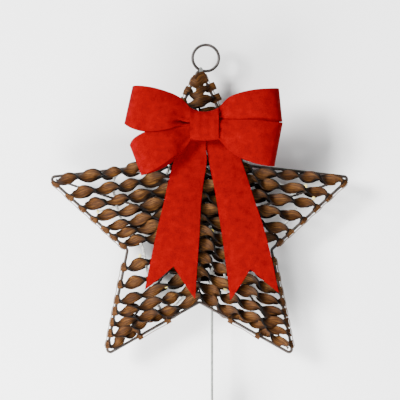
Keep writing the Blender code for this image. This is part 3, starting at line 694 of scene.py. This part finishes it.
# Wires: outline and spokes of two twisted strands
def roundedCorner(before, corner, after, radius, steps):
    toBefore = (before - corner).normalized()
    toAfter = (after - corner).normalized()
    half = toBefore.angle(toAfter) / 2
    centre = corner + (toBefore + toAfter).normalized() * (radius / sin(half))
    first = corner + toBefore * (radius / tan(half)) - centre
    last = corner + toAfter * (radius / tan(half)) - centre
    axis = first.cross(last).normalized()
    return [centre + Matrix.Rotation(first.angle(last) * k / steps, 3, axis) @ first for k in range(steps + 1)]


def outlinePath():
    points = []
    for k in range(5):
        points += roundedCorner(notch(k - 1), tip(k), notch(k), star["tipBend"], 10)
        points += roundedCorner(tip(k), notch(k), tip(k + 1), star["notchBend"], 6)
    return placed(points)


outline = wireCurve("outline_wire", outlinePath(), star["wire"], cyclic=True, sides=4)
finishPiece(outline, outlineTape, ["star_outline"])
spokeTwist = dict(strand=0.72 * mm, offset=0.58 * mm, pitch=7 * mm, step=1.0 * mm)


def spokePiece(name, face, node):
    strands = []
    centre = Vector((0, face * spokeDepth(0), 0))
    for end in spokeEnds():
        foot = end + Vector((0, face * spokeDepth(1), 0))
        along = (centre - foot).normalized()
        sideA = Vector((0, 1, 0)).cross(along).normalized()
        sideB = along.cross(sideA)
        count = round((centre - foot).length / spokeTwist["step"])
        for half in (0, pi):
            path = []
            for k in range(count + 1):
                angle = half + 2 * pi * (k * spokeTwist["step"]) / spokeTwist["pitch"]
                around = (sideA * cos(angle) + sideB * sin(angle)) * spokeTwist["offset"]
                path.append(starCentre + foot + (centre - foot) * k / count + around)
            strands.append(wireCurve("strand", path, spokeTwist["strand"], sides=1))
    finishPiece(joined(strands, name), outlineTape, [node])


spokePiece("spoke_wires_front", -1, "front_spokes")
spokePiece("spoke_wires_back", 1, "back_spokes")
print("wires done")

# Bow: each loop goes out from the knot, turns over and comes back behind itself.
# (share of the reach, bottom x and z, top x and z), in mm from the star's centre
bowLoops = {
    "upper_left": (
        (-0.1, -5.5, 104.6, -5.5, 116.6), (0, -9.6, 103.2, -9.6, 119.6), (0.08, -14.6, 102.3, -14.2, 125),
        (0.2, -20.7, 101.9, -21.7, 131.3), (0.38, -31.7, 98.6, -33.8, 136.4), (0.58, -45.8, 96.2, -46.9, 140.1),
        (0.78, -59.9, 96.8, -57.9, 141.8), (0.94, -71.5, 100.9, -65.5, 142), (1, -75.3, 103.9, -67, 141.3)),
    "lower_left": (
        (-0.1, -5.5, 90.5, -5.5, 103.2), (0, -9.6, 86.5, -9.6, 103.7), (0.08, -13.6, 81.3, -14.6, 104),
        (0.2, -19.3, 76, -21.7, 103), (0.38, -25.7, 71.5, -31.7, 100.9), (0.58, -35.8, 63.6, -44.8, 98.4),
        (0.78, -45.8, 57.3, -56.4, 94.9), (0.94, -54.9, 52.9, -67, 88.3), (1, -58.1, 51.9, -70, 82.8)),
    "upper_right": (
        (-0.1, 15.5, 105.6, 15.5, 117), (0, 19.4, 105.5, 19.4, 119.4), (0.08, 24.4, 105.6, 24, 124.8),
        (0.2, 31.7, 105.8, 30.7, 130.9), (0.38, 43.8, 105.6, 42.8, 135.5), (0.58, 56.9, 105.3, 56.4, 138.2),
        (0.78, 69.5, 105.6, 69, 139.2), (0.94, 80.1, 106, 77.6, 139.7), (1, 83.1, 105.9, 79.7, 139.5)),
    "lower_right": (
        (-0.1, 15.5, 91, 15.5, 106), (0, 19.4, 88, 19.4, 107.4), (0.08, 24, 83.5, 24.6, 107.8),
        (0.2, 30.7, 77, 32.2, 107.8), (0.38, 40.8, 70, 44.3, 107.6), (0.58, 51.9, 65.4, 57.4, 107.2),
        (0.78, 64, 62.3, 71, 105.6), (0.94, 72, 61.3, 80.9, 105.4), (1, 74.9, 61.1, 83.4, 105.2)),
}
# (share of the reach, depth) of the front and the back half of a loop, in mm from its root
bow = dict(
    thick=1.5 * mm, columns=73, lines=25, overReach=1.1, pinched=0.45, foldEase=0.65,
    front=((-0.1, 3.0), (0, 3.6), (0.08, 4.2), (0.2, 6.5), (0.38, 9.5), (0.58, 11), (0.78, 10.5), (0.94, 6.4),
           (1, 0)),
    back=((-0.1, 3.0), (0, 3.4), (0.08, 3.8), (0.2, 5), (0.38, 6.5), (0.58, 8), (0.78, 8), (0.94, 5), (1, 0)),
    roots={"upper_left": -36.8, "lower_left": -34.4, "upper_right": -34.4, "lower_right": -36.8},
    # the back half of this loop hangs lower, most at a share of the reach
    backLow={"lower_left": 4.6}, backLowAt=0.45, backLowRun=0.5,
    frontBelly=2.2 * mm, backBelly=1.4 * mm, ripple=0.35 * mm,
    # waves across the ribbon at the knot
    pleats={"upper_left": 1.5, "lower_left": 2.0, "upper_right": 2.5, "lower_right": 2.5},
    pleatDepth=1.0 * mm, backPleat=0.4,
    # one deep crease: it starts at this share of the ribbon's width and climbs with the reach
    creased="upper_left", crease=7.0 * mm, creaseFrom=0.08, creaseClimb=0.37, creaseWidth=0.06, creaseReach=0.28)


def tableAt(table, share):
    # a smooth line through the table's rows
    shares = [row[0] for row in table]
    k = max(i for i in range(len(shares) - 1) if shares[i] <= share + 1e-9)
    a, b, c, d = (table[min(max(k + j, 0), len(table) - 1)] for j in (-1, 0, 1, 2))
    t = (share - b[0]) / (c[0] - b[0])
    span = c[0] - b[0]
    result = []
    for i in range(1, len(b)):
        slopeB = (c[i] - a[i]) / (c[0] - a[0])
        slopeC = (d[i] - b[i]) / (d[0] - b[0])
        result.append((2 * t ** 3 - 3 * t * t + 1) * b[i] + (t ** 3 - 2 * t * t + t) * span * slopeB
                      + (3 * t * t - 2 * t ** 3) * c[i] + (t ** 3 - t * t) * span * slopeC)
    return result


def loopPlace(name, part, v):
    # part runs from -1 at the knot, over 0 at the fold, to 1 at the knot again
    share = 1 - abs(part) * bow["overReach"]
    lowX, lowZ, highX, highZ = tableAt(bowLoops[name], share)
    isBack = part > 0
    if isBack:
        lowZ -= bow["backLow"].get(name, 0) * max(0, 1 - abs(share - bow["backLowAt"]) / bow["backLowRun"])
    depth = tableAt(bow["back" if isBack else "front"], share)[0] * mm
    low = Vector((lowX, 0, lowZ)) * mm
    high = Vector((highX, 0, highZ)) * mm
    spread = max(0.0, min(1.0, (share + 0.1) / bow["pinched"]))
    depth += (cos(2 * pi * bow["pleats"][name] * v) * bow["pleatDepth"] * (1 - spread) ** 1.5
              * (bow["backPleat"] if isBack else 1))
    depth += (bow["backBelly" if isBack else "frontBelly"] * (1 - (2 * v - 1) ** 2)
              * sin(pi * min(max(share, 0), 1)))
    depth += bow["ripple"] * sin(9 * share + 4 * v + len(name))
    if name == bow["creased"] and not isBack:
        across = (v - bow["creaseFrom"] - bow["creaseClimb"] * share) / bow["creaseWidth"]
        depth -= bow["crease"] * exp(-across ** 2) * exp(-(share / bow["creaseReach"]) ** 2)
    return low.lerp(high, v) + Vector((0, bow["roots"][name] * mm + (depth if isBack else -depth), 0))


def makeLoopsOfBow():
    for name in bowLoops:
        obj = gridPiece("ribbon_loop_" + name, bow["columns"], bow["lines"])
        for vertex in obj.data.vertices:
            # columns lie closer together near the knot
            part = sin(vertex.co.x * pi / 2) * (1 - bow["foldEase"]) + vertex.co.x * bow["foldEase"]
            vertex.co = starCentre + loopPlace(name, part, (vertex.co.y + 1) / 2)
        addWall(obj, bow["thick"])
        piece = finishPiece(obj, felt, ["bow_loop_" + name], smooth=50)


knot = dict(left=-9.6 * mm, right=19.4 * mm, middleZ=101.4 * mm, endZ=104.2 * mm, halfHeight=14.8 * mm,
            endHeight=16.4 * mm, y=-35.6 * mm, halfDepth=9.2 * mm, thick=1.6 * mm, squareness=3.2,
            waist=0.5 * mm, ripple=0.25 * mm, columns=25, lines=97)


def makeKnot():
    # a band round the pinched middle, hollow as the real one is, with the loops in its ends
    obj = gridPiece("ribbon_knot", knot["columns"], knot["lines"])
    power = 2 / knot["squareness"]
    for vertex in obj.data.vertices:
        end = vertex.co.x
        turn = pi * vertex.co.y
        height = knot["halfHeight"] + (knot["endHeight"] - knot["halfHeight"]) * end * end
        z = knot["middleZ"] + (knot["endZ"] - knot["middleZ"]) * end * end
        z += copysign(abs(sin(turn)) ** power, sin(turn)) * (height - knot["thick"] / 2)
        deep = knot["halfDepth"] - knot["thick"] / 2 - knot["waist"] * (1 - end * end)
        y = knot["y"] + copysign(abs(cos(turn)) ** power, cos(turn)) * deep
        y += knot["ripple"] * sin(11 * end) * cos(turn)
        x = knot["left"] + (knot["right"] - knot["left"]) * (end + 1) / 2
        vertex.co = starCentre + Vector((x, y, z))
    selectOnly(obj)
    bpy.ops.object.mode_set(mode="EDIT")
    bpy.ops.mesh.select_all(action="SELECT")
    bpy.ops.mesh.remove_doubles(threshold=0.01 * mm)
    bpy.ops.mesh.normals_make_consistent(inside=False)
    bpy.ops.object.mode_set(mode="OBJECT")
    addWall(obj, knot["thick"])
    piece = finishPiece(obj, felt, ["bow_knot"], smooth=50)


# the tails: (x, y, z, half width) down the middle, in mm from the star's centre
bowTails = {
    "left": dict(notch=30.5 * mm, lift=2.6 * mm, route=(
        (0, -24.6, 96, 7.5), (-4, -24.6, 84, 11), (-8.2, -25.2, 70, 15.9), (-13.5, -27.6, 46, 17.4),
        (-17.4, -30.2, 22, 18.7), (-21.3, -31.6, -5, 21.4), (-26, -31.2, -38, 23.8), (-30.2, -30, -70, 25.9))),
    "right": dict(notch=28.5 * mm, lift=0.0, route=(
        (11, -22.4, 96, 7.5), (16.5, -22.4, 84, 11), (24.3, -23.2, 70, 15.5), (31.3, -25.6, 46, 17.2),
        (37.2, -27.5, 22, 19), (43.8, -28.5, -5, 21.4), (50.3, -28.5, -38, 23.4), (55.7, -28, -71, 24.8))),
}
tailForm = dict(columns=97, lines=21, notchFrom=0.6, notchShare=0.985, roll=1.5, rollFade=40 * mm, wave=0.54,
                waveLength=19 * mm, waveFade=60 * mm)


def makeTails():
    for side, tail in bowTails.items():
        points = smoothPath([Vector(row) for row in tail["route"]], 12)
        travelled = travelledTo([point.xyz * mm for point in points])
        total = travelled[-1]
        obj = gridPiece("ribbon_tail_" + side, tailForm["columns"], tailForm["lines"])
        for vertex in obj.data.vertices:
            u = (vertex.co.x + 1) / 2
            v = vertex.co.y
            # the end is cut to a notch, and on one tail also aslant
            cutShare = max(0, (u - tailForm["notchFrom"]) / (1 - tailForm["notchFrom"]))
            distance = u * total - cutShare * tail["notch"] * (1 - abs(v)) * tailForm["notchShare"]
            distance -= cutShare * tail["lift"] * max(0, -v)
            k = max(i for i in range(len(points) - 1) if travelled[i] <= distance + 1e-9)
            t = (distance - travelled[k]) / (travelled[k + 1] - travelled[k])
            centre = points[k].lerp(points[k + 1], min(t, 1))
            along = (points[min(k + 3, len(points) - 1)].xyz - points[max(k - 3, 0)].xyz).normalized()
            across = Vector((-along.z, 0, along.x)).normalized()
            out = tailForm["roll"] * (1 - v * v) * min(1, distance / tailForm["rollFade"])
            out += (tailForm["wave"] * sin(distance / tailForm["waveLength"] + 1.6 * v + len(side))
                    * min(1, distance / tailForm["waveFade"]))
            place = centre.xyz + across * v * centre.w - Vector((0, out, 0))
            vertex.co = starCentre + place * mm
        addWall(obj, bow["thick"])
        piece = finishPiece(obj, felt, ["bow_tail_" + side], smooth=50)


makeLoopsOfBow()
makeKnot()
makeTails()
print("bow done")


# Light string: two thin strands twisted together, on the frame's own route, with small lamps
lights = dict(
    step=7, strand=0.82 * mm, offset=0.76 * mm, pitch=5 * mm,
    # in mm right of the lead, share of its depth, and mm above its sleeve
    start=((0, 1, 0), (0, 1, 4), (3, 1, 8), (10, 0.5, 7), (17, 0, -2)), startPoints=20,
    # degrees and share of the tips' radius
    route=((288, 0.42), (300, 0.48), (312, 0.60), (319, 0.62), (330, 0.47), (342, 0.37), (354, 0.45),
           (366, 0.60), (378, 0.65), (388, 0.58), (399, 0.46), (414, 0.36), (426, 0.44), (438, 0.58),
           (450, 0.68), (462, 0.58), (474, 0.44), (486, 0.36), (498, 0.52), (508, 0.68), (516, 0.585),
           (522, 0.56), (540, 0.47), (558, 0.37), (578, 0.42), (595, 0.50), (606, 0.60), (612, 0.56),
           (620, 0.42), (628, 0.35)),
    # (x, z) in mm from the star's centre, and the lamps' own thin leads
    lamps=((-104.1, 15), (-61, -30.2), (-34.4, -61.4), (12.8, -4.9), (26.2, -64.4), (108.9, 41.2),
           (117, 28.5)),
    lampRadius=1.7 * mm, lampLength=4.2 * mm, lampForward=1.2 * mm, leadForward=1.0 * mm,
    leadBend=1.5 * mm, leadStrand=0.38 * mm, leadOffset=0.4 * mm, leadPitch=4 * mm)


def stringPath():
    deep = star["wire"] + gap + lead["radius"]
    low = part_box("lead_sleeve")[1].z - starCentre.z + gap
    points = [Vector((lead["x"] + right * mm, deep * share, low + up * mm)) for right, share, up in lights["start"]]
    for (first, near), (last, far) in zip(lights["route"], lights["route"][1:]):
        count = max(1, round((last - first) / lights["step"]))
        for k in range(count):
            radius = star["tipRadius"] * (near + (far - near) * k / count)
            points.append(polar(radius, first + (last - first) * k / count))
    points.append(polar(star["tipRadius"] * lights["route"][-1][1], lights["route"][-1][0]))
    middle = [b * 0.5 + (a + c) * 0.25 for a, b, c in zip(points, points[1:], points[2:])]
    return smoothPath([points[0]] + middle + [points[-1]], 4)


def twistedPair(path, offset, pitch, radius):
    # two strands round a path, as curve objects
    travelled = travelledTo(path)
    count = max(6, round(travelled[-1] / (pitch / 6)))
    strands = []
    for half in (0, pi):
        line = []
        k = 0
        for i in range(count + 1):
            distance = travelled[-1] * i / count
            while k < len(path) - 2 and travelled[k + 1] < distance:
                k += 1
            t = (distance - travelled[k]) / max(travelled[k + 1] - travelled[k], 1e-9)
            along = (path[k + 1] - path[k]).normalized()
            sideA = Vector((0, 1, 0)).cross(along).normalized()
            sideB = along.cross(sideA)
            angle = half + 2 * pi * distance / pitch
            line.append(path[k].lerp(path[k + 1], t) + (sideA * cos(angle) + sideB * sin(angle)) * offset)
        strands.append(wireCurve("strand", line, radius, sides=1))
    return strands


def makeLights():
    path = stringPath()
    strands = twistedPair(placed(path), lights["offset"], lights["pitch"], lights["strand"])
    finishPiece(joined(strands, "light_string_strands"), vinyl, ["light_string"])
    leads = []
    lamps = []
    for x, z in lights["lamps"]:
        place = Vector((x, 0, z)) * mm
        nearest = min(path[lights["startPoints"]:], key=lambda point: (point - place).length)
        bend = (place + nearest) / 2 - Vector((0, lights["leadBend"], 0))
        run = smoothPath([nearest, bend, place - Vector((0, lights["leadForward"], 0))], 6)
        leads += twistedPair(placed(run), lights["leadOffset"], lights["leadPitch"], lights["leadStrand"])
        bpy.ops.mesh.primitive_uv_sphere_add(segments=16, ring_count=10, radius=lights["lampRadius"],
                                             location=starCentre + place - Vector((0, lights["lampForward"], 0)))
        lamp = bpy.context.object
        lamp.scale = (1, 1, lights["lampLength"] / lights["lampRadius"] / 2)
        lamps.append(lamp)
    finishPiece(joined(leads, "lamp_leads"), vinyl)
    finishPiece(joined(lamps, "lamps"), lampCap)


makeLights()


# Tie wire: thin wire that runs outside the outline and over every wrap
tie = dict(radius=0.48 * mm, overWrap=3.35 * mm, between=2.7 * mm, halfWrap=2.6 * mm, clearRoom=10 * mm,
           outWave=0.3 * mm, deepWave=0.8 * mm)


def makeTies():
    edges = []
    for arm, armTip, armNotch, leg, loops in (("armLeft", tip(1), notch(1), "legLeft", "left"),
                                              ("armRight", tip(4), notch(3), "legRight", "right")):
        legTip = tip(2) if loops == "left" else tip(3)
        outer = list(rows[leg]) + [1 - share for share, _ in legLoops[loops]]
        edges.append((armTip, armNotch, sorted(rows[arm])))
        edges.append((armNotch, legTip, sorted(outer)))
        edges.append((legTip, notch(2), sorted(share for _, share in legLoops[loops])))
    for other, sign in ((notch(0), 1), (notch(4), -1)):
        shares = [topLoops["first"] + topLoops["step"] * k + sign * topLoops["slant"] for k in range(topLoops["count"])]
        edges.append((tip(0), other, sorted(shares)))
    wires = []
    for number, (start, end, shares) in enumerate(edges):
        _, out, along = edgeFrame((start, end, 0.5))
        length = (end - start).length
        points = []
        for index, share in enumerate(shares):
            at = start + (end - start) * share
            points += [at - along * tie["halfWrap"] + out * tie["overWrap"],
                       at + along * tie["halfWrap"] + out * tie["overWrap"]]
            if index + 1 < len(shares):
                half = start + (end - start) * (share + shares[index + 1]) / 2
                room = (shares[index + 1] - share) * length
                away = tie["between"] if room > tie["clearRoom"] else tie["overWrap"]
                away += tie["outWave"] * sin(1.7 * index + number)
                sway = Vector((0, tie["deepWave"] * sin(2.3 * index + number), 0))
                points.append(half + out * away + sway)
        wires.append(wireCurve("tie", placed(smoothPath(points, 5)), tie["radius"], sides=1))
    finishPiece(joined(wires, "edge_tie_wires"), tieTan)


# Ring tie: a few loops of thin clear wire round the ring and the tip
ringTie = dict(radius=0.42 * mm, turns=((-14, 0.9), (4, 1.0), (19, 0.86), (33, 0.95)), points=28)


def makeRingTie():
    low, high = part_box("ring_tie")
    centre = (low + high) / 2
    half = (high - low) / 2 - Vector((1, 1, 1)) * ringTie["radius"]
    loops = []
    for degrees, size in ringTie["turns"]:
        turn = Matrix.Rotation(radians(degrees), 3, "Z")
        points = []
        for k in range(ringTie["points"]):
            angle = 2 * pi * k / ringTie["points"]
            sway = half.x * 0.5 * sin(2 * angle + radians(degrees * 5))
            around = turn @ Vector((sway, cos(angle) * half.y, 0))
            points.append(centre + around * size + Vector((0, 0, sin(angle) * half.z * size)))
        loops.append(wireCurve("loop", points, ringTie["radius"], cyclic=True, sides=1))
    finishPiece(joined(loops, "ring_tie_loops"), leadVinyl, ["ring_tie"])


makeTies()
makeRingTie()
for node, mat in (("hang_ring", ringWire), ("lead_sleeve", vinyl), ("coil_tie", vinyl),
                  ("plug_body", plugPlastic), ("plug_blade_left", bladeMetal), ("plug_blade_right", bladeMetal)):
    dress(node, mat)
print("small pieces done")


# Backdrop and soft light from the upper left: (place, power in watts, size in metres)
stage = dict(middle=Vector((0, 0, -0.16)), wallGap=6 * mm, wallSize=6, wallColour="#f6f6f6", roomColour="#e8e9ea",
             roomPower=0.58, lights={"keyLight": ((-1.8, -2.1, 0.6), 228, 0.8),
                                     "fillLight": ((1.0, -2.6, -1.2), 40, 2.2),
                                     "lowLight": ((-0.4, -0.8, -1.1), 58, 0.9)})


def makeStage():
    place = stage["middle"] + Vector((0, cadBox[1].y + stage["wallGap"], 0))
    bpy.ops.mesh.primitive_plane_add(size=stage["wallSize"], location=place, rotation=(radians(90), 0, 0))
    wall = bpy.context.object
    wall.name = "backdrop"
    # matt white paint
    mat, _, shader = newMaterial("paleBackdrop", Roughness=0.9)
    shader.inputs["Base Color"].default_value = linear(stage["wallColour"])
    wall.data.materials.append(mat)
    for name, (place, power, size) in stage["lights"].items():
        data = bpy.data.lights.new(name, "AREA")
        data.energy = power
        data.size = size
        lamp = bpy.data.objects.new(name, data)
        lamp.location = place
        lamp.rotation_euler = (stage["middle"] - Vector(place)).to_track_quat("-Z", "Y").to_euler()
        bpy.context.scene.collection.objects.link(lamp)
    world = bpy.data.worlds.new("softRoom")
    world.use_nodes = True
    world.node_tree.nodes["Background"].inputs["Color"].default_value = linear(stage["roomColour"])
    world.node_tree.nodes["Background"].inputs["Strength"].default_value = stage["roomPower"]
    bpy.context.scene.world = world


makeStage()
